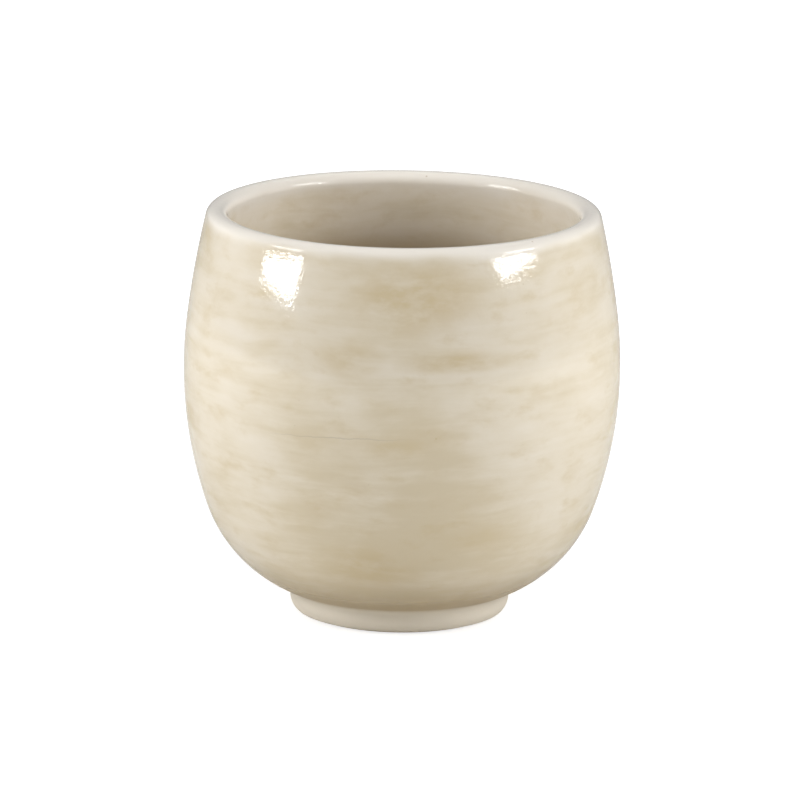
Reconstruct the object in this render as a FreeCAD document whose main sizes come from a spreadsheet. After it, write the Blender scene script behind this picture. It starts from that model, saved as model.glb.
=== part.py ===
"""A round glazed bonsai pot on a foot ring, with its drain screen and wire clip.

Millimetres. +Z is up and is the pot's axis; the origin is on the surface the pot stands on.
"""
import FreeCAD
import Part

import math
import os

import Sketcher

# Driving sizes: alias, value and meaning.  Angles are in degrees, everything else in millimetres.
DRIVING_SIZES = [
    ("overall_height", 132.0, "from the standing surface to the crest of the lip"),
    ("widest_radius", 70.0, "outside, over the glaze"),
    ("widest_height", 80.5, "height of the widest point"),
    ("belly_radius", 138.0, "arc of the belly"),
    ("shoulder_radius", 315.0, "flatter arc from the belly to the lip"),
    ("shoulder_angle", 7.2, "slope of the wall where belly meets shoulder"),
    ("base_radius", 45.0, "tight arc under the belly"),
    ("base_angle", 19.0, "slope of the wall where belly meets base"),
    ("wall_thickness", 6.9, "clay and both glaze coats together"),
    ("coat_thickness", 0.5, "one coat of fired glaze"),
    ("lip_outer_radius", 3.2, "rounding of the lip's outer edge"),
    ("lip_inner_radius", 3.1, "rounding of the lip's inner edge"),
    ("foot_radius", 35.3, "outside of the foot ring, over the glaze"),
    ("foot_inner_radius", 26.0, "inside of the foot ring"),
    ("foot_fillet", 3.0, "hollow rounding between base and foot"),
    ("foot_edge_radius", 5.5, "rounding at the foot's outer lower edge"),
    ("foot_inner_edge_radius", 1.3, "rounding at the foot's inner lower edge"),
    ("glaze_end_angle", 45.0, "how far round the foot's lower edge the glaze reaches"),
    ("drain_radius", 7.5, "drain hole in the floor"),
    ("drain_edge_radius", 0.8, "rounding of the drain hole's two edges"),
    ("bare_margin", 1.6, "unglazed margin round the drain hole"),
    ("mesh_pitch", 2.5, "spacing of the screen's bars"),
    ("mesh_cells", 11, "openings along each side of the screen"),
    ("mesh_bar", 0.6, "width of one bar of the screen"),
    ("mesh_thickness", 0.9, "thickness of the screen"),
    ("wire_radius", 0.7, "wire of the clip"),
    ("leg_cells", 2, "openings from the screen's middle to each leg of the clip"),
    ("wire_bend", 1.6, "bend radius on the wire's centre line"),
    ("leg_reach", 13.0, "from the axis to the cut end of each bent leg"),
    ("wire_gap", 0.05, "clearance between the wire and what it bears on"),
]

# Places worked out from the driving sizes, in the order they depend on each other.
DERIVED_PLACES = [
    ("belly_x", "dims.widest_radius - dims.belly_radius"),
    ("belly_z", "dims.widest_height"),
    ("shoulder_x", "belly_x + (dims.belly_radius - dims.shoulder_radius) * cos(dims.shoulder_angle)"),
    ("shoulder_z", "belly_z + (dims.belly_radius - dims.shoulder_radius) * sin(dims.shoulder_angle)"),
    ("base_x", "belly_x + (dims.belly_radius - dims.base_radius) * cos(dims.base_angle)"),
    ("base_z", "belly_z - (dims.belly_radius - dims.base_radius) * sin(dims.base_angle)"),
    ("lip_outer_z", "dims.overall_height - dims.lip_outer_radius"),
    ("lip_outer_span", "dims.shoulder_radius - dims.lip_outer_radius"),
    ("lip_outer_x", "shoulder_x + sqrt(lip_outer_span ^ 2 - (lip_outer_z - shoulder_z) ^ 2)"),
    ("lip_inner_z", "dims.overall_height - dims.lip_inner_radius"),
    ("lip_inner_span", "dims.shoulder_radius - dims.wall_thickness + dims.lip_inner_radius"),
    ("lip_inner_x", "shoulder_x + sqrt(lip_inner_span ^ 2 - (lip_inner_z - shoulder_z) ^ 2)"),
    ("crest_x", "(lip_outer_x + lip_inner_x) / 2"),
    ("fillet_x", "dims.foot_radius + dims.foot_fillet"),
    ("fillet_span", "dims.base_radius + dims.foot_fillet"),
    ("fillet_z", "base_z - sqrt(fillet_span ^ 2 - (fillet_x - base_x) ^ 2)"),
    ("edge_x", "dims.foot_radius - dims.foot_edge_radius"),
    ("edge_z", "dims.foot_edge_radius - dims.coat_thickness"),
    ("inner_edge_x", "dims.foot_inner_radius + dims.foot_inner_edge_radius"),
    ("inner_edge_z", "dims.foot_inner_edge_radius"),
    ("inner_edge_radius", "dims.foot_inner_edge_radius"),
    ("bare_radius", "dims.drain_radius + dims.bare_margin"),
    ("leg_x", "dims.leg_cells * dims.mesh_pitch"),
    ("mesh_side", "dims.mesh_cells * dims.mesh_pitch + dims.mesh_bar"),
]

# The four skins of the wall: name and depth below the pot's finished outside.
SKINS = [
    ("outer_glaze", "0"),
    ("outer_clay", "dims.coat_thickness"),
    ("inner_clay", "dims.wall_thickness - dims.coat_thickness"),
    ("inner_glaze", "dims.wall_thickness"),
]

DOCUMENT_NAME = "bonsai_pot"
ON_AXIS = 1e-9
SAME_RADIUS = 1e-6
VOLUME_TOLERANCE = 1e-3


def make_sheet(doc):
    """The spreadsheet of driving sizes: one plain number to a row."""
    sheet = doc.addObject("Spreadsheet::Sheet", "dims")
    for row, (alias, value, meaning) in enumerate(DRIVING_SIZES, start=1):
        sheet.set("A%d" % row, alias)
        sheet.set("B%d" % row, str(value))
        sheet.setAlias("B%d" % row, alias)
        sheet.set("C%d" % row, meaning)
    doc.recompute()
    return sheet


def derive(layout, name, formula):
    """Add one worked-out number to the layout."""
    layout.addProperty("App::PropertyFloat", name)
    layout.setExpression(name, formula)


def derive_point(layout, name, x_formula, z_formula):
    derive(layout, name + "_x", x_formula)
    derive(layout, name + "_z", z_formula)


def derive_skin(layout, skin, depth):
    """The radii of one skin's arcs and the points where its arcs meet."""
    for arc in ("belly", "shoulder", "base"):
        derive(layout, "%s_%s_radius" % (skin, arc), "dims.%s_radius - (%s)" % (arc, depth))
    shoulder = "%s_shoulder_radius" % skin
    belly = "%s_belly_radius" % skin
    base = "%s_base_radius" % skin
    derive_point(layout, skin + "_shoulder_joint",
                 "belly_x + %s * cos(dims.shoulder_angle)" % belly,
                 "belly_z + %s * sin(dims.shoulder_angle)" % belly)
    derive_point(layout, skin + "_base_joint",
                 "belly_x + %s * cos(dims.base_angle)" % belly,
                 "belly_z - %s * sin(dims.base_angle)" % belly)
    derive_point(layout, skin + "_bottom", "base_x", "base_z - %s" % base)
    if skin.startswith("outer"):
        lip, below_crest = "lip_outer", depth
    else:
        lip, below_crest = "lip_inner", "dims.wall_thickness - (%s)" % depth
    derive(layout, "%s_lip_radius" % skin, "dims.%s_radius - (%s)" % (lip, below_crest))
    derive_point(layout, skin + "_lip_joint",
                 "shoulder_x + {0} * ({1}_x - shoulder_x) / {1}_span".format(shoulder, lip),
                 "shoulder_z + {0} * ({1}_z - shoulder_z) / {1}_span".format(shoulder, lip))
    derive_point(layout, skin + "_lip_top", lip + "_x",
                 "dims.overall_height - (%s)" % below_crest)
    derive_point(layout, skin + "_crest", "crest_x",
                 "dims.overall_height - (%s)" % below_crest)


def derive_foot(layout, skin, depth):
    """The radii and points of one skin where it passes over the foot ring."""
    derive(layout, skin + "_fillet_radius", "dims.foot_fillet + (%s)" % depth)
    derive(layout, skin + "_edge_radius", "dims.foot_edge_radius - (%s)" % depth)
    base = "%s_base_radius" % skin
    edge = "%s_edge_radius" % skin
    derive_point(layout, skin + "_fillet_top",
                 "base_x + %s * (fillet_x - base_x) / fillet_span" % base,
                 "base_z + %s * (fillet_z - base_z) / fillet_span" % base)
    derive_point(layout, skin + "_foot_top", "dims.foot_radius - (%s)" % depth, "fillet_z")
    derive_point(layout, skin + "_foot_low", "dims.foot_radius - (%s)" % depth, "edge_z")
    derive_point(layout, skin + "_glaze_end",
                 "edge_x + %s * cos(dims.glaze_end_angle)" % edge,
                 "edge_z - %s * sin(dims.glaze_end_angle)" % edge)


def make_layout(doc):
    """The set of worked-out places, each bound by a formula to the spreadsheet."""
    layout = doc.addObject("App::VarSet", "layout")
    for name, formula in DERIVED_PLACES:
        derive(layout, name, formula)
    for skin, depth in SKINS:
        derive_skin(layout, skin, depth)
    for skin, depth in SKINS[:2]:
        derive_foot(layout, skin, depth)
    derive_point(layout, "contact_outer", "edge_x", "0")
    derive_point(layout, "contact_inner", "inner_edge_x", "0")
    derive_point(layout, "foot_inner_low", "dims.foot_inner_radius", "dims.foot_inner_edge_radius")
    derive_point(layout, "foot_inner_top", "dims.foot_inner_radius",
                 "base_z - sqrt(outer_clay_base_radius ^ 2 - (dims.foot_inner_radius - base_x) ^ 2)")
    derive_point(layout, "floor_under", "0", "outer_clay_bottom_z")
    derive_point(layout, "floor_over", "0", "inner_clay_bottom_z")
    derive_point(layout, "floor_glaze_over", "bare_radius", "inner_glaze_bottom_z")
    derive_point(layout, "floor_glaze_under", "bare_radius", "inner_clay_bottom_z")
    derive_clip(layout)
    doc.recompute()
    return layout


def derive_clip(layout):
    """The centre line of one half of the clip, from the axis to its cut end."""
    derive(layout, "screen_z", "inner_glaze_bottom_z")
    derive(layout, "bar_z", "screen_z + dims.mesh_thickness + dims.wire_radius + dims.wire_gap")
    derive(layout, "under_z", "outer_clay_bottom_z - dims.wire_radius - dims.wire_gap")
    derive(layout, "wire_bend_radius", "dims.wire_bend")
    derive_point(layout, "wire_top_bend", "leg_x - dims.wire_bend", "bar_z - dims.wire_bend")
    derive_point(layout, "wire_low_bend", "leg_x + dims.wire_bend", "under_z + dims.wire_bend")
    derive_point(layout, "wire_middle", "0", "bar_z")
    derive_point(layout, "wire_bar_end", "wire_top_bend_x", "bar_z")
    derive_point(layout, "wire_leg_top", "leg_x", "wire_top_bend_z")
    derive_point(layout, "wire_leg_low", "leg_x", "wire_low_bend_z")
    derive_point(layout, "wire_toe", "wire_low_bend_x", "under_z")
    derive_point(layout, "wire_end", "dims.leg_reach", "under_z")


def line_to(point):
    """An outline step: straight on to the named point."""
    return (point, None, None)


def arc_to(point, centre, radius):
    """An outline step: on to the named point along the arc of a named centre and radius."""
    return (point, centre, radius)


def new_sketch(body, name, plane_role):
    """A sketch on one of the body's own origin planes."""
    sketch = body.newObject("Sketcher::SketchObject", name)
    plane = [p for p in body.Origin.OriginFeatures if p.Role == plane_role][0]
    sketch.AttachmentSupport = [(plane, "")]
    sketch.MapMode = "FlatFace"
    return sketch


def place_of(layout, point):
    return FreeCAD.Vector(getattr(layout, point + "_x"), getattr(layout, point + "_z"), 0)


def add_step(sketch, layout, start, step):
    """Draw one side of an outline; return its index and which of its ends is its start."""
    end, centre, radius = step
    start_place = place_of(layout, start)
    end_place = place_of(layout, end)
    if centre is None:
        return sketch.addGeometry(Part.LineSegment(start_place, end_place), False), 1
    middle = place_of(layout, centre)
    from_middle = start_place - middle
    to_middle = end_place - middle
    start_angle = math.atan2(from_middle.y, from_middle.x)
    turn = math.atan2(from_middle.cross(to_middle).z, from_middle.dot(to_middle))
    circle = Part.Circle(middle, FreeCAD.Vector(0, 0, 1), getattr(layout, radius))
    if turn > 0:
        arc = Part.ArcOfCircle(circle, start_angle, start_angle + turn)
    else:
        arc = Part.ArcOfCircle(circle, start_angle + turn, start_angle)
    index = sketch.addGeometry(arc, False)
    add_bound(sketch, ("Radius", index, getattr(layout, radius)), "%s_%d" % (radius, index),
              "layout." + radius)
    return index, (1 if turn > 0 else 2)


def add_bound(sketch, values, name, formula):
    """Add a dimension to a sketch and bind it to a formula."""
    constraint = sketch.addConstraint(Sketcher.Constraint(*values))
    sketch.renameConstraint(constraint, name)
    sketch.setExpression("Constraints." + name, formula)


def pin_point(sketch, layout, index, end, point):
    """Hold one corner of an outline at its named place."""
    place = place_of(layout, point)
    if abs(place.x) < ON_AXIS:
        sketch.addConstraint(Sketcher.Constraint("PointOnObject", index, end, -2))
    else:
        add_bound(sketch, ("DistanceX", -1, 1, index, end, place.x), "%s_x_%d" % (point, index),
                  "layout.%s_x" % point)
    if abs(place.y) < ON_AXIS:
        sketch.addConstraint(Sketcher.Constraint("PointOnObject", index, end, -1))
    else:
        add_bound(sketch, ("DistanceY", -1, 1, index, end, place.y), "%s_z_%d" % (point, index),
                  "layout.%s_z" % point)


def draw_outline(sketch, layout, start, steps, closed=True):
    """Draw lines and arcs through named points, each corner held where the layout says."""
    corners = [start] + [step[0] for step in steps]
    sides = [add_step(sketch, layout, corner, step) for corner, step in zip(corners, steps)]
    for corner, (index, start_end) in zip(corners, sides):
        pin_point(sketch, layout, index, start_end, corner)
    last_index, last_start = sides[-1]
    if not closed:
        pin_point(sketch, layout, last_index, 3 - last_start, corners[-1])
    following = sides[1:] + (sides[:1] if closed else [])
    for (index, start_end), (next_index, next_start) in zip(sides, following):
        sketch.addConstraint(
            Sketcher.Constraint("Coincident", index, 3 - start_end, next_index, next_start))
    return [index for index, _ in sides]


def new_body(doc, label):
    body = doc.addObject("PartDesign::Body", label)
    body.Label = label
    return body


def revolve(doc, layout, label, start, steps):
    """A body turned about +Z from one closed outline."""
    body = new_body(doc, label)
    sketch = new_sketch(body, label + "_outline", "XZ_Plane")
    draw_outline(sketch, layout, start, steps)
    turned = body.newObject("PartDesign::Revolution", label + "_turned")
    turned.Profile = sketch
    turned.ReferenceAxis = (sketch, ["V_Axis"])
    turned.Angle = 360
    sketch.Visibility = False
    doc.recompute()
    return body


def skin_up(skin):
    """Outline steps from the bottom of a skin's base arc up to the crest of the lip."""
    return [
        arc_to(skin + "_base_joint", "base", skin + "_base_radius"),
        arc_to(skin + "_shoulder_joint", "belly", skin + "_belly_radius"),
        arc_to(skin + "_lip_joint", "shoulder", skin + "_shoulder_radius"),
        arc_to(skin + "_lip_top", "lip_" + skin.split("_")[0], skin + "_lip_radius"),
        line_to(skin + "_crest"),
    ]


def skin_down(skin):
    """Outline steps from the crest of the lip down to the bottom of a skin's base arc."""
    return [
        line_to(skin + "_lip_top"),
        arc_to(skin + "_lip_joint", "lip_" + skin.split("_")[0], skin + "_lip_radius"),
        arc_to(skin + "_shoulder_joint", "shoulder", skin + "_shoulder_radius"),
        arc_to(skin + "_base_joint", "belly", skin + "_belly_radius"),
        arc_to(skin + "_bottom", "base", skin + "_base_radius"),
    ]


def foot_down(skin):
    """Outline steps from the top of the foot's fillet down to the end of the glaze."""
    return [
        arc_to(skin + "_foot_top", "fillet", skin + "_fillet_radius"),
        line_to(skin + "_foot_low"),
        arc_to(skin + "_glaze_end", "edge", skin + "_edge_radius"),
    ]


def foot_up(skin):
    """Outline steps from the end of the glaze up to the top of the foot's fillet."""
    return [
        arc_to(skin + "_foot_low", "edge", skin + "_edge_radius"),
        line_to(skin + "_foot_top"),
        arc_to(skin + "_fillet_top", "fillet", skin + "_fillet_radius"),
    ]


def edges_at_radius(shape, radius):
    """Names of the round edges of one radius about the axis."""
    names = []
    for number, edge in enumerate(shape.Edges, start=1):
        if isinstance(edge.Curve, Part.Circle) and abs(edge.Curve.Radius - radius) < SAME_RADIUS:
            names.append("Edge%d" % number)
    return names


def make_bowl(doc, sheet, layout):
    """The thrown clay bowl: wall, lip and floor, with the drain hole through the floor."""
    steps = [line_to("outer_clay_bottom")]
    steps += skin_up("outer_clay")
    steps += skin_down("inner_clay")
    steps += [line_to("floor_over"), line_to("floor_under")]
    body = revolve(doc, layout, "bowl", "floor_under", steps)
    whole = body.Shape.Volume
    outline = new_sketch(body, "drain_outline", "XY_Plane")
    circle = outline.addGeometry(
        Part.Circle(FreeCAD.Vector(0, 0, 0), FreeCAD.Vector(0, 0, 1), sheet.drain_radius), False)
    outline.addConstraint(Sketcher.Constraint("Coincident", circle, 3, -1, 1))
    add_bound(outline, ("Radius", circle, sheet.drain_radius), "drain_radius", "dims.drain_radius")
    drain = body.newObject("PartDesign::Pocket", "drain_hole")
    drain.Profile = outline
    drain.Type = "ThroughAll"
    drain.Reversed = True
    outline.Visibility = False
    doc.recompute()
    if drain.Shape.Volume >= whole:
        raise RuntimeError("the drain hole cuts nothing")
    rounded = body.newObject("PartDesign::Fillet", "drain_edges")
    rounded.Base = (drain, edges_at_radius(drain.Shape, sheet.drain_radius))
    rounded.Radius = sheet.drain_edge_radius
    rounded.setExpression("Radius", "dims.drain_edge_radius")
    doc.recompute()
    return body


def make_foot_ring(doc, layout):
    """The clay ring under the bowl; its top fits the bowl's round underside."""
    steps = [
        arc_to("outer_clay_fillet_top", "base", "outer_clay_base_radius"),
        arc_to("outer_clay_foot_top", "fillet", "outer_clay_fillet_radius"),
        line_to("outer_clay_foot_low"),
        arc_to("contact_outer", "edge", "outer_clay_edge_radius"),
        line_to("contact_inner"),
        arc_to("foot_inner_low", "inner_edge", "inner_edge_radius"),
        line_to("foot_inner_top"),
    ]
    return revolve(doc, layout, "foot_ring", "foot_inner_top", steps)


def make_glaze_outside(doc, layout):
    """The outside coat of glaze, from the crest of the lip to the lower edge of the foot."""
    steps = skin_down("outer_glaze")[:-1]
    steps += [arc_to("outer_glaze_fillet_top", "base", "outer_glaze_base_radius")]
    steps += foot_down("outer_glaze")
    steps += [line_to("outer_clay_glaze_end")]
    steps += foot_up("outer_clay")
    steps += skin_up("outer_clay")
    steps += [line_to("outer_glaze_crest")]
    return revolve(doc, layout, "glaze_outside", "outer_glaze_crest", steps)


def make_glaze_inside(doc, layout):
    """The inside coat of glaze, from the crest of the lip to the bare margin of the drain hole."""
    steps = skin_down("inner_glaze")
    steps += [line_to("floor_glaze_over"), line_to("floor_glaze_under"),
              line_to("inner_clay_bottom")]
    steps += skin_up("inner_clay")
    steps += [line_to("inner_glaze_crest")]
    return revolve(doc, layout, "glaze_inside", "inner_glaze_crest", steps)


def centred_square(sketch, side, half_formula):
    """A square about the sketch's origin, its half side bound to a formula."""
    half = side / 2
    corners = [(-half, -half), (half, -half), (half, half), (-half, half)]
    places = [FreeCAD.Vector(x, y, 0) for x, y in corners]
    for number, place in enumerate(places):
        sketch.addGeometry(Part.LineSegment(place, places[(number + 1) % len(places)]), False)
    for number in range(len(places)):
        sketch.addConstraint(
            Sketcher.Constraint("Coincident", number, 2, (number + 1) % len(places), 1))
        direction = "Horizontal" if number % 2 == 0 else "Vertical"
        sketch.addConstraint(Sketcher.Constraint(direction, number))
    add_bound(sketch, ("DistanceX", 0, 1, -1, 1, half), "left", half_formula)
    add_bound(sketch, ("DistanceX", -1, 1, 0, 2, half), "right", half_formula)
    add_bound(sketch, ("DistanceY", 0, 1, -1, 1, half), "near", half_formula)
    add_bound(sketch, ("DistanceY", -1, 1, 2, 1, half), "far", half_formula)


def make_drain_screen(doc, sheet, layout):
    """The square of moulded plastic mesh that lies on the floor over the drain hole."""
    body = new_body(doc, "drain_screen")
    outline = new_sketch(body, "screen_outline", "XY_Plane")
    centred_square(outline, layout.mesh_side, "layout.mesh_side / 2")
    sheet_pad = body.newObject("PartDesign::Pad", "screen_sheet")
    sheet_pad.Profile = outline
    sheet_pad.Length = sheet.mesh_thickness
    sheet_pad.setExpression("Length", "dims.mesh_thickness")
    outline.Visibility = False
    doc.recompute()
    whole = sheet_pad.Shape.Volume
    opening = sheet.mesh_pitch - sheet.mesh_bar
    hole_outline = new_sketch(body, "opening_outline", "XY_Plane")
    centred_square(hole_outline, opening, "(dims.mesh_pitch - dims.mesh_bar) / 2")
    hole = body.newObject("PartDesign::Pocket", "screen_opening")
    hole.Profile = hole_outline
    hole.Type = "ThroughAll"
    hole.Reversed = True
    hole_outline.Visibility = False
    doc.recompute()
    grid = body.newObject("PartDesign::MultiTransform", "screen_openings")
    grid.Originals = [hole]
    patterns = []
    for name, axis in (("openings_across", "H_Axis"), ("openings_along", "V_Axis")):
        pattern = body.newObject("PartDesign::LinearPattern", name)
        pattern.Direction = (hole_outline, [axis])
        pattern.Mode = "Spacing"
        pattern.Offset = sheet.mesh_pitch
        pattern.setExpression("Offset", "dims.mesh_pitch")
        pattern.Occurrences = int(sheet.mesh_cells)
        pattern.setExpression("Occurrences", "dims.mesh_cells")
        patterns.append(pattern)
    grid.Transformations = patterns
    body.Tip = grid
    first = "-(dims.mesh_cells - 1) / 2 * dims.mesh_pitch"
    hole_outline.setExpression(".AttachmentOffset.Base.x", first)
    hole_outline.setExpression(".AttachmentOffset.Base.y", first)
    body.setExpression(".Placement.Base.z", "layout.screen_z")
    doc.recompute()
    cut = whole - grid.Shape.Volume
    expected = (opening ** 2) * sheet.mesh_thickness * sheet.mesh_cells ** 2
    if abs(cut - expected) > VOLUME_TOLERANCE * expected:
        raise RuntimeError("the screen's openings are not all cut")
    return body


def make_screen_clip(doc, sheet, layout):
    """The bent wire: a bar over the screen and two legs turned out under the floor."""
    body = new_body(doc, "screen_clip")
    path = new_sketch(body, "wire_path", "XZ_Plane")
    steps = [
        line_to("wire_bar_end"),
        arc_to("wire_leg_top", "wire_top_bend", "wire_bend_radius"),
        line_to("wire_leg_low"),
        arc_to("wire_toe", "wire_low_bend", "wire_bend_radius"),
        line_to("wire_end"),
    ]
    sides = draw_outline(path, layout, "wire_middle", steps, closed=False)
    section = new_sketch(body, "wire_section", "YZ_Plane")
    centre = FreeCAD.Vector(0, layout.bar_z, 0)
    circle = section.addGeometry(
        Part.Circle(centre, FreeCAD.Vector(0, 0, 1), sheet.wire_radius), False)
    section.addConstraint(Sketcher.Constraint("PointOnObject", circle, 3, -2))
    add_bound(section, ("DistanceY", -1, 1, circle, 3, layout.bar_z), "bar_z", "layout.bar_z")
    add_bound(section, ("Radius", circle, sheet.wire_radius), "wire_radius", "dims.wire_radius")
    doc.recompute()
    half = body.newObject("PartDesign::AdditivePipe", "half_wire")
    half.Profile = section
    half.Spine = (path, ["Edge%d" % (side + 1) for side in sides])
    path.Visibility = False
    section.Visibility = False
    doc.recompute()
    both = body.newObject("PartDesign::Mirrored", "both_halves")
    both.Originals = [half]
    mirror = [p for p in body.Origin.OriginFeatures if p.Role == "YZ_Plane"][0]
    both.MirrorPlane = (mirror, [""])
    body.Tip = both
    doc.recompute()
    return body


def check_and_export(doc, bodies):
    """Stop on any failed feature, then write one STEP file for each sub-part."""
    for item in doc.Objects:
        if "Invalid" in item.State or "Error" in item.State:
            raise RuntimeError("%s failed: %s" % (item.Name, item.State))
    os.makedirs("parts", exist_ok=True)
    for body in bodies:
        shape = body.Shape
        if shape.isNull() or not shape.isValid() or shape.Volume <= 0:
            raise RuntimeError("%s has no valid solid" % body.Label)
        shape.exportStep(os.path.join("parts", body.Label + ".step"))
        box = shape.optimalBoundingBox(False)
        print("%-14s solids %d  volume %10.1f  z %.2f to %.2f  width %.2f"
              % (body.Label, len(shape.Solids), shape.Volume, box.ZMin, box.ZMax, box.XLength))


def main():
    doc = FreeCAD.newDocument(DOCUMENT_NAME)
    sheet = make_sheet(doc)
    layout = make_layout(doc)
    bodies = [
        make_bowl(doc, sheet, layout),
        make_foot_ring(doc, layout),
        make_glaze_outside(doc, layout),
        make_glaze_inside(doc, layout),
        make_drain_screen(doc, sheet, layout),
        make_screen_clip(doc, sheet, layout),
    ]
    check_and_export(doc, bodies)


main()
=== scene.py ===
"""Looks of a round glazed bonsai pot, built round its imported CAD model.

Metres, in the CAD frame: +Z is the pot's axis and the floor is z = 0.
"""
import math

import bmesh
import bpy
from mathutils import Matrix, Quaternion, Vector


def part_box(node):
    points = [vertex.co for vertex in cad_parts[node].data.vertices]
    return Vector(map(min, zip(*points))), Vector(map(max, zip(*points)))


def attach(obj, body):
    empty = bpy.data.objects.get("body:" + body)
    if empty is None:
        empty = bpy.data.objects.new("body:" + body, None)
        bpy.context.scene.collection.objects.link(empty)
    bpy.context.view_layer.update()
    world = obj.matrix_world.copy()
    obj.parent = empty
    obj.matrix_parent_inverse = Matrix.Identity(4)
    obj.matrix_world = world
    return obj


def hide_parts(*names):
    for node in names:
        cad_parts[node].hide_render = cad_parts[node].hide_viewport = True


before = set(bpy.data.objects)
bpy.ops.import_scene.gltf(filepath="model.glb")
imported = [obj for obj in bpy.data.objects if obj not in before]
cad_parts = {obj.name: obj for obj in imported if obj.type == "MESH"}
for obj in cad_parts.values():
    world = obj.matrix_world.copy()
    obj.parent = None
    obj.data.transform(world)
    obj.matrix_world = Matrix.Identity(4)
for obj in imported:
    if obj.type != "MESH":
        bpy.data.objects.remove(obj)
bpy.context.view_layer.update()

MM = 0.001

# Sizes read from the frame.
COAT_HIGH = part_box("glaze_outside")[1]
BOWL_LOW, BOWL_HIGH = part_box("bowl")
SCREEN_LOW, SCREEN_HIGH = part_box("drain_screen")
CLIP_LOW, CLIP_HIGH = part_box("screen_clip")
WIDEST_RADIUS = COAT_HIGH.y
HEIGHT = COAT_HIGH.z
COAT = HEIGHT - BOWL_HIGH.z
UNDERSIDE = BOWL_LOW.z

# The wall's arcs, as on the CAD model: radii, and slopes in degrees where they meet.
WIDEST_HEIGHT = 80.5 * MM
BELLY_RADIUS = 138 * MM
SHOULDER_RADIUS = 315 * MM
SHOULDER_SLOPE = 7.2
BASE_RADIUS = 45 * MM
BASE_SLOPE = 19.0
WALL = 6.9 * MM
LIP_OUTER_RADIUS = 3.2 * MM
LIP_INNER_RADIUS = 3.1 * MM
FOOT_RADIUS = 35.3 * MM
FOOT_INNER_RADIUS = 26 * MM
FOOT_FILLET = 3.0 * MM
FOOT_EDGE = 5.5 * MM
FOOT_INNER_EDGE = 1.3 * MM
GLAZE_END_ANGLE = 45.0
DRAIN_RADIUS = 7.5 * MM
DRAIN_EDGE = 0.8 * MM
BARE_RADIUS = 9.1 * MM

# Mesh resolution.
TURN_STEPS = 400
LONG_ARC_STEP = 1.2 * MM
SMALL_ARC_STEPS = 10
FOOT_WALL_STEPS = 6


# ---------------------------------------------------------------- outlines

def on_circle(centre, radius, degrees):
    angle = math.radians(degrees)
    return (centre[0] + radius * math.cos(angle), centre[1] + radius * math.sin(angle))


def arc(centre, radius, start, end):
    """Points of an arc from one angle to another, in degrees, both ends included."""
    length = abs(math.radians(end - start)) * radius
    steps = max(SMALL_ARC_STEPS, math.ceil(length / LONG_ARC_STEP))
    return [on_circle(centre, radius, start + (end - start) * i / steps) for i in range(steps + 1)]


def bearing(centre, point):
    return math.degrees(math.atan2(point[1] - centre[1], point[0] - centre[0]))


BELLY = (WIDEST_RADIUS - BELLY_RADIUS, WIDEST_HEIGHT)
SHOULDER = on_circle(BELLY, BELLY_RADIUS - SHOULDER_RADIUS, SHOULDER_SLOPE)
BASE = on_circle(BELLY, BELLY_RADIUS - BASE_RADIUS, -BASE_SLOPE)


def lip_centre(radius, span):
    """Centre of a lip rounding that touches the crest and the shoulder arc."""
    height = HEIGHT - radius
    return (SHOULDER[0] + math.sqrt(span ** 2 - (height - SHOULDER[1]) ** 2), height)


LIP_OUTER = lip_centre(LIP_OUTER_RADIUS, SHOULDER_RADIUS - LIP_OUTER_RADIUS)
LIP_INNER = lip_centre(LIP_INNER_RADIUS, SHOULDER_RADIUS - WALL + LIP_INNER_RADIUS)
CREST = (LIP_OUTER[0] + LIP_INNER[0]) / 2
FILLET_SPAN = BASE_RADIUS + FOOT_FILLET
FILLET_X = FOOT_RADIUS + FOOT_FILLET
FILLET = (FILLET_X, BASE[1] - math.sqrt(FILLET_SPAN ** 2 - (FILLET_X - BASE[0]) ** 2))
EDGE = (FOOT_RADIUS - FOOT_EDGE, FOOT_EDGE - COAT)


def wall_run(depth, foot_end=False):
    """One skin of the wall, from the crest down: depth is measured in from the glazed outside."""
    if depth < WALL / 2:
        lip, lip_radius, lip_end = LIP_OUTER, LIP_OUTER_RADIUS - depth, bearing(SHOULDER, LIP_OUTER)
    else:
        lip, lip_radius = LIP_INNER, LIP_INNER_RADIUS - (WALL - depth)
        lip_end = 180 + bearing(SHOULDER, LIP_INNER)
    shoulder_start = bearing(SHOULDER, lip)
    base_end = bearing(BASE, FILLET) if foot_end else -90
    points = [(CREST, lip[1] + lip_radius)]
    points += arc(lip, lip_radius, 90, lip_end)
    points += arc(SHOULDER, SHOULDER_RADIUS - depth, shoulder_start, SHOULDER_SLOPE)[1:]
    points += arc(BELLY, BELLY_RADIUS - depth, SHOULDER_SLOPE, -BASE_SLOPE)[1:]
    points += arc(BASE, BASE_RADIUS - depth, -BASE_SLOPE, base_end)[1:]
    if foot_end:
        points += arc(FILLET, FOOT_FILLET + depth, bearing(FILLET, BASE), 180)[1:]
        points += arc(EDGE, FOOT_EDGE - depth, 0, -GLAZE_END_ANGLE)
    return points


def glaze_bead(outer_end, inner_end):
    """The rounded lower edge of the outside coat, where the glaze stops on the foot."""
    middle = ((outer_end[0] + inner_end[0]) / 2, (outer_end[1] + inner_end[1]) / 2)
    radius = math.dist(outer_end, inner_end) / 2
    start = bearing(middle, outer_end)
    return arc(middle, radius, start, start - 180)[1:-1]


def outside_coat_outline():
    outer = wall_run(0, foot_end=True)
    inner = wall_run(COAT, foot_end=True)
    return outer + glaze_bead(outer[-1], inner[-1]) + inner[::-1], [0, -1]


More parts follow.
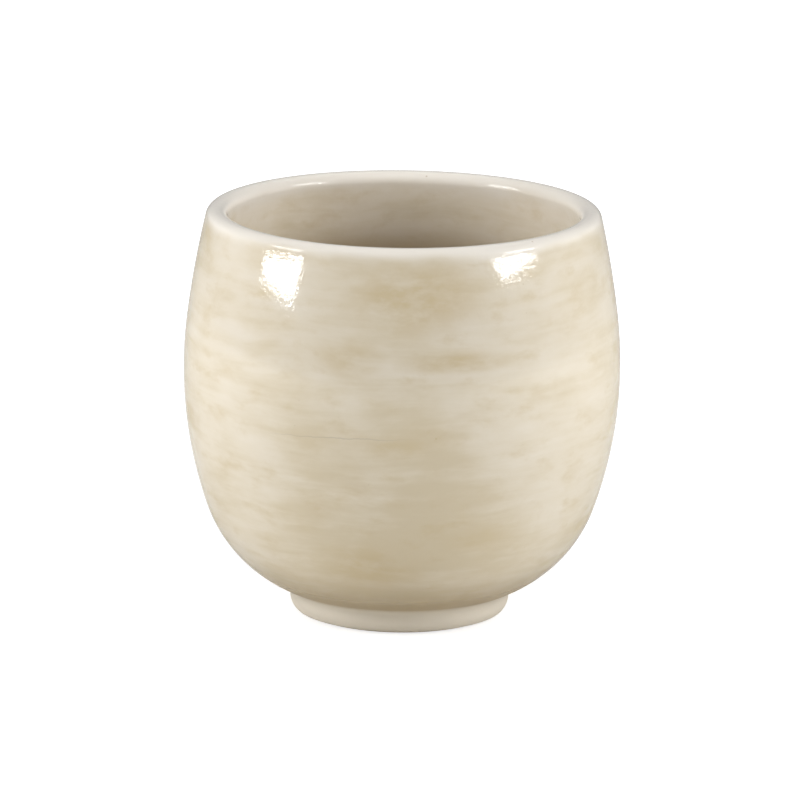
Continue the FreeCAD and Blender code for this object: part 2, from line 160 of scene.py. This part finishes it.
def inside_coat_outline():
    over = wall_run(WALL)
    under = wall_run(WALL - COAT)
    bead_top = (BARE_RADIUS, over[-1][1])
    bead_low = (BARE_RADIUS, under[-1][1])
    middle = (BARE_RADIUS, (bead_top[1] + bead_low[1]) / 2)
    bead = arc(middle, COAT / 2, 90, 270)[1:-1]
    outline = over + [bead_top] + bead + [bead_low] + under[::-1]
    return outline, [0, len(over) + len(bead) + 1, -1]


def bowl_outline():
    outer = wall_run(COAT)
    inner = wall_run(WALL - COAT)
    under_edge = (DRAIN_RADIUS + DRAIN_EDGE, UNDERSIDE + DRAIN_EDGE)
    over_edge = (DRAIN_RADIUS + DRAIN_EDGE, inner[-1][1] - DRAIN_EDGE)
    hole = arc(over_edge, DRAIN_EDGE, 90, 180) + arc(under_edge, DRAIN_EDGE, 180, 270)
    return outer[::-1] + inner[1:] + hole, []


def foot_outline():
    drop = math.sqrt((BASE_RADIUS - COAT) ** 2 - (FOOT_INNER_RADIUS - BASE[0]) ** 2)
    top_start = (FOOT_INNER_RADIUS, BASE[1] - drop)
    top = arc(BASE, BASE_RADIUS - COAT, bearing(BASE, top_start), bearing(BASE, FILLET))
    side = arc(FILLET, FOOT_FILLET + COAT, bearing(FILLET, BASE), 180)[1:]
    edge = arc(EDGE, FOOT_EDGE - COAT, 0, -90)
    inner_edge = (FOOT_INNER_RADIUS + FOOT_INNER_EDGE, FOOT_INNER_EDGE)
    inside = arc(inner_edge, FOOT_INNER_EDGE, 270, 180)
    rise = top_start[1] - FOOT_INNER_EDGE
    wall = [(FOOT_INNER_RADIUS, FOOT_INNER_EDGE + rise * i / FOOT_WALL_STEPS)
            for i in range(1, FOOT_WALL_STEPS)]
    return top + side + edge + inside + wall, [0, len(top) - 1]


# ---------------------------------------------------------------- meshes

WOBBLE = 0.10 * MM
LIP_WAVE = 0.12 * MM


def hand_made(radius, angle, height):
    """The slight out-of-true of a thrown pot: every skin at one angle and height moves alike."""
    upper = max(0.0, height / HEIGHT)
    out = WOBBLE * upper * (math.sin(2 * angle + 0.6) + 0.5 * math.sin(3 * angle + 2.1))
    rise = LIP_WAVE * upper ** 6 * math.sin(2 * angle + 1.9)
    return radius + out, height + rise


def link_piece(name, mesh, material, node):
    piece = bpy.data.objects.new(name, mesh)
    bpy.context.scene.collection.objects.link(piece)
    mesh.materials.append(material)
    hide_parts(node)
    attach(piece, "root")
    return piece


def turned_mesh(name, outline, sharp_corners):
    """A closed mesh turned about +Z from a closed outline of (radius, height) points."""
    points = [p for i, p in enumerate(outline) if math.dist(p, outline[i - 1]) > 1e-7]
    corners = [outline[i] for i in sharp_corners]
    sharp_rings = {i for i, p in enumerate(points) for c in corners if math.dist(p, c) < 1e-7}
    mesh_builder = bmesh.new()
    rings = []
    for radius, height in points:
        ring = []
        for step in range(TURN_STEPS):
            angle = 2 * math.pi * step / TURN_STEPS
            out, up = hand_made(radius, angle, height)
            ring.append(mesh_builder.verts.new((out * math.cos(angle), out * math.sin(angle), up)))
        rings.append(ring)
    for i, ring in enumerate(rings):
        following = rings[(i + 1) % len(rings)]
        for step in range(TURN_STEPS):
            nxt = (step + 1) % TURN_STEPS
            face = mesh_builder.faces.new((ring[step], following[step], following[nxt], ring[nxt]))
            face.smooth = True
    bmesh.ops.recalc_face_normals(mesh_builder, faces=mesh_builder.faces)
    for i in sharp_rings:
        for step in range(TURN_STEPS):
            edge = mesh_builder.edges.get((rings[i][step], rings[i][(step + 1) % TURN_STEPS]))
            edge.smooth = False
    mesh = bpy.data.meshes.new(name)
    mesh_builder.to_mesh(mesh)
    mesh_builder.free()
    return mesh


SCREEN_CELLS = 11
SCREEN_BAR = 0.6 * MM
SCREEN_BEVEL = 0.14 * MM


def screen_mesh(name):
    """Moulded mesh: a lattice of crossing bars with rounded edges."""
    side = SCREEN_HIGH.x - SCREEN_LOW.x
    pitch = (side - SCREEN_BAR) / SCREEN_CELLS
    lines = []
    for bar in range(SCREEN_CELLS + 1):
        start = SCREEN_LOW.x + bar * pitch
        lines += [start, start + SCREEN_BAR]
    builder = bmesh.new()
    grid = [[builder.verts.new((x, y, SCREEN_LOW.z)) for y in lines] for x in lines]
    for i in range(len(lines) - 1):
        for j in range(len(lines) - 1):
            if i % 2 == 0 or j % 2 == 0:
                builder.faces.new((grid[i][j], grid[i + 1][j], grid[i + 1][j + 1], grid[i][j + 1]))
    raised = bmesh.ops.extrude_face_region(builder, geom=list(builder.faces))
    top = [v for v in raised["geom"] if isinstance(v, bmesh.types.BMVert)]
    bmesh.ops.translate(builder, verts=top, vec=(0, 0, SCREEN_HIGH.z - SCREEN_LOW.z))
    bmesh.ops.recalc_face_normals(builder, faces=builder.faces)
    corners = [e for e in builder.edges if e.calc_face_angle(0) > math.radians(60)]
    bmesh.ops.bevel(builder, geom=corners, offset=SCREEN_BEVEL, segments=3, profile=0.5,
                    affect="EDGES")
    for face in builder.faces:
        face.smooth = True
    mesh = bpy.data.meshes.new(name)
    builder.to_mesh(mesh)
    builder.free()
    return mesh


WIRE_RADIUS = 0.7 * MM
WIRE_BEND = 1.6 * MM
WIRE_SIDES = 28
WIRE_CHAMFER = 0.15 * MM
LEG_X = 5.0 * MM


def wire_path():
    """The clip's centre line in the XZ plane, from one cut end to the other."""
    bar = CLIP_HIGH.z - WIRE_RADIUS
    under = CLIP_LOW.z + WIRE_RADIUS
    reach = CLIP_HIGH.x
    top_bend = (LEG_X - WIRE_BEND, bar - WIRE_BEND)
    low_bend = (LEG_X + WIRE_BEND, under + WIRE_BEND)
    half = [(0.0, bar)]
    half += arc(top_bend, WIRE_BEND, 90, 0)
    half += arc(low_bend, WIRE_BEND, 180, 270)
    half += [(reach, under)]
    mirrored = [(-x, z) for x, z in half[:0:-1]]
    return mirrored + half


def wire_mesh(name):
    """A round wire swept along the clip's centre line, with its cut ends chamfered."""
    path = wire_path()
    builder = bmesh.new()
    stations = []
    for i, (x, z) in enumerate(path):
        before = path[max(i - 1, 0)]
        after = path[min(i + 1, len(path) - 1)]
        along = Vector((after[0] - before[0], 0, after[1] - before[1])).normalized()
        stations.append((Vector((x, 0, z)), along, WIRE_RADIUS))
    first, last = stations[0], stations[-1]
    stations.insert(1, (first[0] + first[1] * WIRE_CHAMFER, first[1], WIRE_RADIUS))
    stations[0] = (first[0], first[1], WIRE_RADIUS - WIRE_CHAMFER)
    stations.insert(-1, (last[0] - last[1] * WIRE_CHAMFER, last[1], WIRE_RADIUS))
    stations[-1] = (last[0], last[1], WIRE_RADIUS - WIRE_CHAMFER)
    across = Vector((0, 1, 0))
    rings = []
    for centre, along, radius in stations:
        up = along.cross(across)
        ring = []
        for step in range(WIRE_SIDES):
            angle = 2 * math.pi * step / WIRE_SIDES
            ring.append(builder.verts.new(
                centre + across * (radius * math.cos(angle)) + up * (radius * math.sin(angle))))
        rings.append(ring)
    for ring, following in zip(rings, rings[1:]):
        for step in range(WIRE_SIDES):
            nxt = (step + 1) % WIRE_SIDES
            builder.faces.new((ring[step], ring[nxt], following[nxt], following[step])).smooth = True
    builder.faces.new(rings[0])
    builder.faces.new(rings[-1][::-1])
    bmesh.ops.recalc_face_normals(builder, faces=builder.faces)
    mesh = bpy.data.meshes.new(name)
    builder.to_mesh(mesh)
    builder.free()
    return mesh


# ---------------------------------------------------------------- materials

def linear(red, green, blue):
    """A display colour, 0 to 255, as linear light."""
    def channel(value):
        value /= 255
        return value / 12.92 if value <= 0.04045 else ((value + 0.055) / 1.055) ** 2.4
    return (channel(red), channel(green), channel(blue), 1.0)


# Where a soft spot ends and where it is full, as shares of its reach.
SPOT_EDGE = 1.15
SPOT_CORE = 0.2


class Graph:
    """A material's node tree, with short calls for the nodes these materials use."""

    def __init__(self, name):
        self.material = bpy.data.materials.new(name)
        self.material.use_nodes = True
        self.tree = self.material.node_tree
        self.shader = self.tree.nodes["Principled BSDF"]
        self.output = self.tree.nodes["Material Output"]
        place = self.add("ShaderNodeTexCoord").outputs["Object"]
        self.place = self.scaled(place, (1 / MM, 1 / MM, 1 / MM))

    def add(self, kind, **settings):
        node = self.tree.nodes.new(kind)
        for name, value in settings.items():
            setattr(node, name, value)
        return node

    def feed(self, socket, value):
        if isinstance(value, bpy.types.NodeSocket):
            self.tree.links.new(value, socket)
        else:
            socket.default_value = value

    def scaled(self, vector, scale, offset=(0, 0, 0)):
        """A place multiplied by a scale, then moved by an offset."""
        node = self.add("ShaderNodeVectorMath", operation="MULTIPLY_ADD")
        self.feed(node.inputs[0], vector)
        self.feed(node.inputs[1], scale)
        self.feed(node.inputs[2], offset)
        return node.outputs[0]

    def noise(self, vector, scale=(1, 1, 1), offset=(0, 0, 0), detail=3.0, roughness=0.5):
        """Soft noise from 0 to 1. scale is in features per millimetre."""
        node = self.add("ShaderNodeTexNoise")
        self.feed(node.inputs["Vector"], self.scaled(vector, scale, offset))
        node.inputs["Scale"].default_value = 1.0
        node.inputs["Detail"].default_value = detail
        node.inputs["Roughness"].default_value = roughness
        return node.outputs[0]

    def cells(self, vector, scale):
        """Distance to the nearest of many scattered points."""
        node = self.add("ShaderNodeTexVoronoi")
        self.feed(node.inputs["Vector"], self.scaled(vector, scale))
        node.inputs["Scale"].default_value = 1.0
        return node.outputs["Distance"]

    def math(self, operation, first, second=0.0, third=0.0):
        node = self.add("ShaderNodeMath", operation=operation)
        self.feed(node.inputs[0], first)
        self.feed(node.inputs[1], second)
        self.feed(node.inputs[2], third)
        return node.outputs[0]

    def fade(self, value, low, high, to_low=0.0, to_high=1.0):
        """A smooth step of value from low to high."""
        node = self.add("ShaderNodeMapRange", interpolation_type="SMOOTHSTEP")
        for name, number in (("Value", value), ("From Min", low), ("From Max", high),
                             ("To Min", to_low), ("To Max", to_high)):
            self.feed(node.inputs[name], number)
        return node.outputs[0]

    def mix(self, share, first, second, blend="MIX"):
        node = self.add("ShaderNodeMix", data_type="RGBA", blend_type=blend)
        self.feed(node.inputs["Factor"], share)
        self.feed(node.inputs["A"], first)
        self.feed(node.inputs["B"], second)
        return node.outputs["Result"]

    def along(self, axis):
        """Millimetres along X, Y or Z."""
        node = self.add("ShaderNodeSeparateXYZ")
        self.feed(node.inputs[0], self.place)
        return node.outputs[axis]

    def spot(self, centre, reach):
        """1 round a place, fading to 0 just past its reach along each axis."""
        scale = [1 / span for span in reach]
        offset = [-middle / span for middle, span in zip(centre, reach)]
        node = self.add("ShaderNodeVectorMath", operation="LENGTH")
        self.feed(node.inputs[0], self.scaled(self.place, scale, offset))
        return self.fade(node.outputs["Value"], SPOT_EDGE, SPOT_CORE)

    def radius(self):
        """Millimetres from the pot's axis."""
        node = self.add("ShaderNodeVectorMath", operation="LENGTH")
        self.feed(node.inputs[0], self.scaled(self.place, (1, 1, 0)))
        return node.outputs["Value"]

    def bump(self, relief, depth, normal=None):
        """Relief of a given depth in metres."""
        node = self.add("ShaderNodeBump")
        node.inputs["Strength"].default_value = 1.0
        self.feed(node.inputs["Distance"], depth)
        self.feed(node.inputs["Height"], relief)
        if normal is not None:
            self.feed(node.inputs["Normal"], normal)
        return node.outputs[0]

    def set(self, **inputs):
        for name, value in inputs.items():
            self.feed(self.shader.inputs[name.replace("_", " ")], value)


CREAM_LIGHT = linear(231, 223, 209)
CREAM = linear(225, 215, 196)
TAN = linear(214, 201, 175)
OCHRE = linear(205, 187, 150)
LIP_CREAM = linear(234, 229, 221)
# Tanner inside glaze, which deep in the pot also paints the shade that falls there.
INSIDE_TAN_AND_SHADE = linear(172, 150, 114)
# Darker tan low on the belly.
LOW_BELLY_DARK = linear(170, 150, 112)
GREY_LINE = linear(176, 165, 148)
FRECKLE = linear(160, 134, 92)
# Painted shade over the whole outside glaze, keeping it a tenth darker than the inside.
OUTER_PAINTED_SHADE = (0.90, 0.90, 0.90, 1.0)

# Zones of the glaze in millimetres. Depths are below the crest, and heights above the floor.
LIP_PALE_DEPTH = 3.5
LIP_BLEND_DEPTH_OUTSIDE = 7.5
LIP_BLEND_DEPTH_INSIDE = 12.0
# Painted shade inside: the depths below the crest where it starts and where it is full.
INSIDE_SHADE_DEPTHS = (15.0, 34.0)
CREST_DULL_DEPTHS = (3.0, 1.0)
LOW_TAN_HEIGHTS = (62.0, 14.0)
LOW_BELLY_DARK_HEIGHTS = (26.0, 9.5)
FOOT_PALE_HEIGHTS = (10.0, 7.6)
FOOT_DULL_HEIGHTS = (20.0, 10.0)

# Relief and sheen of the glaze.
RIPPLE_DEPTH = 0.018 * MM
ORANGE_PEEL_DEPTH = 0.03 * MM
GLAZE_ROUGHNESS = (0.03, 0.06)
FOOT_DULLNESS = 0.35
CREST_DULLNESS = 0.1
GLAZE_IOR = 1.56

# Broad places, as centre and reach in millimetres: a tanner front that paints the shade where the
# side lights reach less, and the hairline's stretch.
FRONT_SHADE_SPOT = ((-2, -60, 52), (46, 46, 42))
HAIRLINE = ((-19, -62, 72), (25, 30, 20))
HAIRLINE_HEIGHT = 71.8
HAIRLINE_CLIMB = 0.03
HAIRLINE_SWAY = 2.6
HAIRLINE_EDGE = (0.26, 0.05)

# Where the brush left the glaze thin: centre and reach in millimetres, and strength.
DABS = [
    ((3, -63, 117), (26, 30, 15), 0.85),
    ((17, -66, 97), (22, 30, 4), 0.8),
    ((-17, -66, 98), (13, 30, 8), 0.6),
    ((-2, -68, 70), (16, 30, 5), 0.6),
    ((-9, -52, 29), (20, 30, 11), 0.8),
    ((24, -52, 38), (16, 30, 6), 0.5),
    ((-67, -16, 68), (8, 8, 5), 0.9),
    ((66, -18, 68), (8, 8, 5), 0.8),
    ((57, -18, 34), (9, 12, 5), 0.8),
    ((-40, 52, 104), (22, 22, 12), 0.8),
    ((52, 40, 96), (20, 24, 8), 0.7),
    ((12, 60, 50), (26, 24, 9), 0.7),
]


def below_crest(depth):
    """Height in millimetres of a place this far below the crest."""
    return HEIGHT / MM - depth


def dabs(g):
    """Soft-edged spots round the places in DABS, from 0 to 1."""
    total = 0.0
    for centre, reach, strength in DABS:
        spot = g.math("MULTIPLY", g.spot(centre, reach), strength)
        total = g.math("MAXIMUM", total, spot)
    return total


def brushed_place(g):
    """Places lifted and lowered a little, so that brush marks sway round the pot."""
    sway = g.noise(g.place, (0.018, 0.018, 0.03), detail=2.0)
    lift = g.add("ShaderNodeCombineXYZ")
    g.feed(lift.inputs["Z"], g.math("MULTIPLY_ADD", sway, 9.0, -4.5))
    bent = g.add("ShaderNodeVectorMath", operation="ADD")
    g.feed(bent.inputs[0], g.place)
    g.feed(bent.inputs[1], lift.outputs[0])
    return bent.outputs[0]


def streaked_cream(g, brushed, clouds, blotches, rise):
    """Cream turning to tan where clouds, blotches, brush bands and grain leave it thin, a little
    lower down, and as painted shade over the front.
    """
    bands = g.noise(brushed, (0.022, 0.022, 0.28), (4, 9, 8), detail=3.0)
    grain = g.noise(brushed, (0.12, 0.12, 0.5), (8, 1, 3), detail=4.0, roughness=0.6)
    low = g.fade(rise, *LOW_TAN_HEIGHTS)
    thin_and_shade = g.math("MULTIPLY_ADD", clouds, 0.6, -0.38)
    # The front spot is painted shade, where the side lights reach the front less.
    for part, weight in ((blotches, 0.8), (bands, 0.62), (grain, 0.25), (low, 0.15),
                         (g.spot(*FRONT_SHADE_SPOT), 0.35)):
        thin_and_shade = g.math("MULTIPLY_ADD", part, weight, thin_and_shade)
    colour = g.mix(g.fade(thin_and_shade, 0.38, 0.90), CREAM_LIGHT, CREAM)
    return g.mix(g.fade(thin_and_shade, 0.72, 1.18), colour, TAN)


def add_ochre(g, colour, brushed, inside):
    """Ochre mottling all over, and on the outside stronger patches in the dabs."""
    mottle = g.noise(brushed, (0.085, 0.085, 0.17), (21, 5, 2), detail=5.0, roughness=0.55)
    ochre = g.fade(mottle, 0.50, 0.80, 0.0, 0.5)
    if not inside:
        broken = g.fade(mottle, 0.30, 0.62, 0.25, 1.0)
        ochre = g.math("MAXIMUM", ochre, g.math("MULTIPLY", dabs(g), broken))
    return g.mix(ochre, colour, OCHRE)


def add_zones(g, colour, clouds, rise, inside):
    """Inside, a tanner glaze and painted shade that deepens below the crest; outside, darker low on
    the belly above the pale foot, and painted shade all over; and a pale lip.
    """
    if inside:
        # Painted shade deep inside: the inside glaze darkens with depth below the crest.
        deep_shade = g.fade(rise, *(below_crest(depth) for depth in INSIDE_SHADE_DEPTHS))
        colour = g.mix(g.math("MULTIPLY", deep_shade, 0.95), colour, INSIDE_TAN_AND_SHADE)
        blend_depth = LIP_BLEND_DEPTH_INSIDE
    else:
        # Darker towards the bottom of the belly, above the pale foot.
        low_belly = g.fade(rise, *LOW_BELLY_DARK_HEIGHTS)
        colour = g.mix(g.math("MULTIPLY", low_belly, 0.85), colour, LOW_BELLY_DARK)
        colour = g.mix(g.fade(rise, *FOOT_PALE_HEIGHTS), colour, CREAM_LIGHT)
        # Painted shade: the whole outside is darkened by a tenth.
        colour = g.mix(1.0, colour, OUTER_PAINTED_SHADE, "MULTIPLY")
        blend_depth = LIP_BLEND_DEPTH_OUTSIDE
    uneven = g.math("MULTIPLY_ADD", clouds, -5.0, rise)
    lip = g.fade(uneven, below_crest(blend_depth), below_crest(LIP_PALE_DEPTH), 0.0, 0.85)
    return g.mix(lip, colour, LIP_CREAM)


def add_hairline(g, colour, rise):
    """A thin grey wavering line across the left of the front."""
    waver = g.noise(g.place, (0.075, 0.075, 0.05), (2, 6, 4), detail=5.0, roughness=0.6)
    height = g.math("MULTIPLY_ADD", waver, HAIRLINE_SWAY, HAIRLINE_HEIGHT)
    height = g.math("MULTIPLY_ADD", g.along("X"), HAIRLINE_CLIMB, height)
    distance = g.math("ABSOLUTE", g.math("SUBTRACT", rise, height))
    line = g.math("MULTIPLY", g.fade(distance, *HAIRLINE_EDGE), g.spot(*HAIRLINE))
    return g.mix(g.math("MULTIPLY", line, 0.5), colour, GREY_LINE)


def add_freckles(g, colour):
    dots = g.fade(g.cells(g.place, (0.16, 0.16, 0.16)), 0.07, 0.03)
    few = g.fade(g.noise(g.place, (0.06, 0.06, 0.06), (7, 7, 7)), 0.55, 0.65)
    return g.mix(g.math("MULTIPLY", g.math("MULTIPLY", dots, few), 0.4), colour, FRECKLE)


def glaze_normal(g):
    """Slow ripples with finer orange peel over them."""
    ripple = g.noise(g.place, (0.33, 0.33, 0.33), (1, 1, 1), detail=3.0)
    orange_peel = g.noise(g.place, (0.8, 0.8, 0.8), (9, 4, 6), detail=3.0)
    return g.bump(orange_peel, ORANGE_PEEL_DEPTH, g.bump(ripple, RIPPLE_DEPTH))


def glaze_roughness(g, blotches, rise):
    """Glossy, and duller near the foot and along the crest."""
    dull = g.fade(blotches, 0.35, 0.7, *GLAZE_ROUGHNESS)
    dull = g.math("MULTIPLY_ADD", g.fade(rise, *FOOT_DULL_HEIGHTS), FOOT_DULLNESS, dull)
    crest = g.fade(rise, *(below_crest(depth) for depth in CREST_DULL_DEPTHS))
    return g.math("MULTIPLY_ADD", crest, CREST_DULLNESS, dull)


def glaze_material(name, inside):
    """Cream glaze over tan: soft blotches and brush bands, ochre mottling, freckles, a hairline, and
    painted shade deep inside, over the front and over the whole outside.
    """
    g = Graph(name)
    brushed = brushed_place(g)
    rise = g.along("Z")
    clouds = g.noise(g.place, (0.028, 0.028, 0.045), (3, 7, 1), detail=2.0)
    blotches = g.noise(brushed, (0.05, 0.05, 0.12), (11, 2, 5), detail=4.0, roughness=0.5)
    colour = streaked_cream(g, brushed, clouds, blotches, rise)
    colour = add_ochre(g, colour, brushed, inside)
    colour = add_zones(g, colour, clouds, rise, inside)
    colour = add_hairline(g, colour, rise)
    colour = add_freckles(g, colour)
    g.set(Base_Color=colour, Roughness=glaze_roughness(g, blotches, rise), IOR=GLAZE_IOR,
          Normal=glaze_normal(g))
    return g.material


CLAY = linear(206, 188, 160)
CLAY_DARK = linear(168, 144, 112)
GROG = linear(120, 96, 70)


def clay_material():
    """Bare fired stoneware: sandy, with darker grog specks and fine turning marks."""
    g = Graph("stoneware_clay")
    sand = g.noise(g.place, (2.2, 2.2, 2.2), detail=5.0, roughness=0.7)
    tone = g.noise(g.place, (0.09, 0.09, 0.2), (2, 4, 6), detail=4.0)
    colour = g.mix(g.fade(tone, 0.3, 0.75), CLAY, CLAY_DARK)
    colour = g.mix(g.fade(sand, 0.5, 0.75, 0.0, 0.35), colour, CLAY_DARK)
    specks = g.fade(g.cells(g.place, (0.75, 0.75, 0.75)), 0.2, 0.1)
    colour = g.mix(g.math("MULTIPLY", specks, 0.6), colour, GROG)
    rings = g.noise(g.radius(), (1.6, 1.6, 1.6), detail=4.0)
    relief = g.math("MULTIPLY_ADD", rings, 0.6, g.math("MULTIPLY", sand, 0.4))
    g.set(Base_Color=colour, Roughness=g.fade(sand, 0.3, 0.7, 0.78, 0.92), IOR=1.45,
          Normal=g.bump(relief, 0.12 * MM))
    return g.material


def plastic_material():
    """Black moulded plastic with a faint grain and dust."""
    g = Graph("mesh_plastic")
    grain = g.noise(g.place, (3.0, 3.0, 3.0), detail=4.0)
    dust = g.noise(g.place, (0.25, 0.25, 0.25), (5, 1, 2), detail=5.0, roughness=0.7)
    colour = g.mix(g.fade(dust, 0.45, 0.8, 0.0, 0.5), linear(34, 34, 33), linear(84, 80, 72))
    g.set(Base_Color=colour, Roughness=g.fade(grain, 0.3, 0.7, 0.38, 0.6), IOR=1.48,
          Normal=g.bump(grain, 0.03 * MM))
    return g.material


def wire_material():
    """Drawn aluminium wire: fine lengthwise scratches and dull spots."""
    g = Graph("clip_wire")
    scratches = g.noise(g.place, (0.3, 9.0, 2.5), detail=4.0, roughness=0.7)
    dull = g.noise(g.place, (0.6, 0.6, 0.6), (4, 4, 1), detail=3.0)
    colour = g.mix(g.fade(dull, 0.4, 0.7), linear(214, 214, 216), linear(176, 174, 170))
    g.set(Base_Color=colour, Metallic=1.0, Roughness=g.fade(scratches, 0.25, 0.75, 0.24, 0.48),
          Normal=g.bump(scratches, 0.02 * MM))
    return g.material


# ---------------------------------------------------------------- the pot

GLAZE_OUTSIDE = glaze_material("cream_glaze_outside", inside=False)
GLAZE_INSIDE = glaze_material("cream_glaze_inside", inside=True)
STONEWARE = clay_material()


def make_pot():
    turned = [
        ("pot_glaze_outside", "glaze_outside", outside_coat_outline(), GLAZE_OUTSIDE,
         "cream_glaze"),
        ("pot_glaze_inside", "glaze_inside", inside_coat_outline(), GLAZE_INSIDE,
         "cream_glaze"),
        ("pot_bowl", "bowl", bowl_outline(), STONEWARE, "stoneware_clay"),
        ("pot_foot_ring", "foot_ring", foot_outline(), STONEWARE, "stoneware_clay"),
    ]
    for name, node, (outline, corners), material, slot in turned:
        link_piece(name, turned_mesh(name, outline, corners), material, node)
    link_piece("pot_drain_screen", screen_mesh("pot_drain_screen"), plastic_material(),
               "drain_screen")
    link_piece("pot_screen_clip", wire_mesh("pot_screen_clip"), wire_material(),
               "screen_clip")


# ---------------------------------------------------------------- floor, lights and camera

STAGE_RADIUS = 9.0
FLOOR_TONE = (0.42, 0.42, 0.42, 1)
FLOOR_GLOW_NEAR = 0.76
FLOOR_GLOW_FAR = 0.99
GLOW_START = 90.0
GLOW_END = 500.0
BOUNCE_TONE = (0.80, 0.78, 0.73, 1)
BOUNCE_DROP = 0.3 * MM


def floor_material():
    """Pale matt paper that stays near white away from the pot."""
    g = Graph("floor_paper")
    away = g.radius()
    glow = g.fade(away, GLOW_START, GLOW_END, FLOOR_GLOW_NEAR, FLOOR_GLOW_FAR)
    fibre = g.noise(g.place, (0.05, 0.05, 0.05), detail=4.0)
    glow = g.math("MULTIPLY", glow, g.fade(fibre, 0.2, 0.8, 0.995, 1.005))
    g.set(Base_Color=FLOOR_TONE, Roughness=0.9, Emission_Color=(1, 1, 1, 1), Emission_Strength=glow)
    return g.material


def bounce_material():
    g = Graph("bounce_paper")
    g.set(Base_Color=BOUNCE_TONE, Roughness=0.9)
    return g.material


def stage_piece(name, mesh, material):
    piece = bpy.data.objects.new(name, mesh)
    bpy.context.scene.collection.objects.link(piece)
    mesh.materials.append(material)
    return piece


def stage_disc(name, material):
    mesh = bpy.data.meshes.new(name)
    builder = bmesh.new()
    bmesh.ops.create_circle(builder, cap_ends=True, segments=96, radius=STAGE_RADIUS)
    builder.to_mesh(mesh)
    builder.free()
    return stage_piece(name, mesh, material)


def make_floor():
    """A near-white floor to look at, and a plain one under it that lights the pot from below."""
    floor = stage_disc("floor", floor_material())
    floor.visible_diffuse = False
    floor.visible_glossy = False
    floor.visible_shadow = False
    bounce = stage_disc("floor_bounce", bounce_material())
    bounce.location.z = -BOUNCE_DROP
    bounce.visible_camera = False


def aim(thing, target):
    """Turn a light or camera's -Z towards a target."""
    thing.rotation_mode = "QUATERNION"
    thing.rotation_quaternion = (Vector(target) - thing.location).to_track_quat("-Z", "Y")


def seen_from_pot(azimuth, elevation, distance):
    """A place round the pot: azimuth 0 is towards the camera, and positive to its right."""
    a, e = math.radians(azimuth), math.radians(elevation)
    return Vector((math.sin(a) * math.cos(e), -math.cos(a) * math.cos(e), math.sin(e))) * distance


LIGHT_TARGET = Vector((0, 0, 0.118))
LIGHT_DISTANCE = 1.1
BACK_ELEVATION = 45
BACK_DISTANCE = 1.6
BACK_SIZE = (1.0, 0.5)
BACK_WATTS = 1.5

# Panels: name, corners as (azimuth, elevation) in degrees, and glow.
# Broad side light, kept out of the glaze's reflections. The last two reach down inside.
SOFT_PANELS = [
    ("soft_left", [(-82, 4), (-57.5, 4), (-50, 22), (-85, 22)], 8.0),
    ("soft_right", [(81, 5), (57.5, 5), (46, 22), (83, 22)], 8.1),
    ("high_left", [(-85, 22), (-41, 22), (-41, 36), (-85, 36)], 7.4),
    ("high_right", [(83, 22), (41, 22), (41, 36), (83, 36)], 7.3),
    ("inner_left", [(-118, 30), (-86, 30), (-86, 50), (-118, 50)], 6.2),
    ("inner_right", [(118, 30), (86, 30), (86, 50), (118, 50)], 6.2),
]
# Only seen as reflections: windows on the shoulder, glints on the lip, a backdrop on the rim.
MIRRORED_PANELS = [
    ("window_left", [(-83, 4), (-60, 4), (-56, 10), (-83, 6)], 18.0),
    ("window_right", [(79, 7), (57, 7.5), (49, 11), (79, 8)], 18.0),
    ("glint_left", [(-80, 12), (-60, 12), (-60, 24), (-80, 24)], 6.5),
    ("glint_right", [(80, 12), (60, 12), (60, 24), (80, 24)], 6.5),
    ("backdrop", [(120, 1), (-120, 1), (-120, 45), (120, 45)], 0.3),
]


def make_panel(name, corners, glow):
    """A glowing softbox face beside the pot, hidden from the camera."""
    g = Graph(name)
    g.set(Base_Color=(0, 0, 0, 1), Emission_Color=(1, 1, 1, 1), Emission_Strength=glow)
    mesh = bpy.data.meshes.new(name)
    places = [LIGHT_TARGET + seen_from_pot(azimuth, elevation, LIGHT_DISTANCE)
              for azimuth, elevation in corners]
    mesh.from_pydata(places, [], [range(len(places))])
    panel = stage_piece(name, mesh, g.material)
    panel.visible_camera = False
    return panel


def make_back_light():
    """A soft light behind and above, which reaches down into the pot."""
    data = bpy.data.lights.new("back_light", "AREA")
    data.shape = "RECTANGLE"
    data.size, data.size_y = BACK_SIZE
    data.energy = BACK_WATTS
    light = bpy.data.objects.new("back_light", data)
    bpy.context.scene.collection.objects.link(light)
    light.location = LIGHT_TARGET + seen_from_pot(180, BACK_ELEVATION, BACK_DISTANCE)
    light.visible_glossy = False
    aim(light, LIGHT_TARGET)


def make_lights():
    for name, corners, glow in SOFT_PANELS:
        make_panel(name, corners, glow).visible_glossy = False
    for name, corners, glow in MIRRORED_PANELS:
        mirrored = make_panel(name, corners, glow)
        mirrored.visible_diffuse = False
        mirrored.visible_shadow = False
    make_back_light()


def make_world():
    world = bpy.data.worlds.new("studio")
    bpy.context.scene.world = world
    world.use_nodes = True
    background = world.node_tree.nodes["Background"]
    background.inputs["Color"].default_value = (1, 1, 1, 1)
    background.inputs["Strength"].default_value = 1.0
    world.cycles_visibility.diffuse = False
    world.cycles_visibility.glossy = False


LENS = 309.8
CAMERA_ELEVATION = 13.58
CAMERA_DISTANCE = 2.212
CAMERA_ROLL = 0.68
CAMERA_AIM = Vector((-0.0005, 0, 0.0690))


def make_camera():
    data = bpy.data.cameras.new("camera")
    data.lens = LENS
    data.sensor_width = 36.0
    data.clip_end = 100.0
    camera = bpy.data.objects.new("camera", data)
    bpy.context.scene.collection.objects.link(camera)
    camera.location = CAMERA_AIM + seen_from_pot(0, CAMERA_ELEVATION, CAMERA_DISTANCE)
    aim(camera, CAMERA_AIM)
    roll = Quaternion((0, 0, 1), math.radians(CAMERA_ROLL))
    camera.rotation_quaternion = camera.rotation_quaternion @ roll
    bpy.context.scene.camera = camera


make_pot()
make_floor()
make_lights()
make_world()
make_camera()
bpy.context.scene.view_settings.view_transform = "Standard"
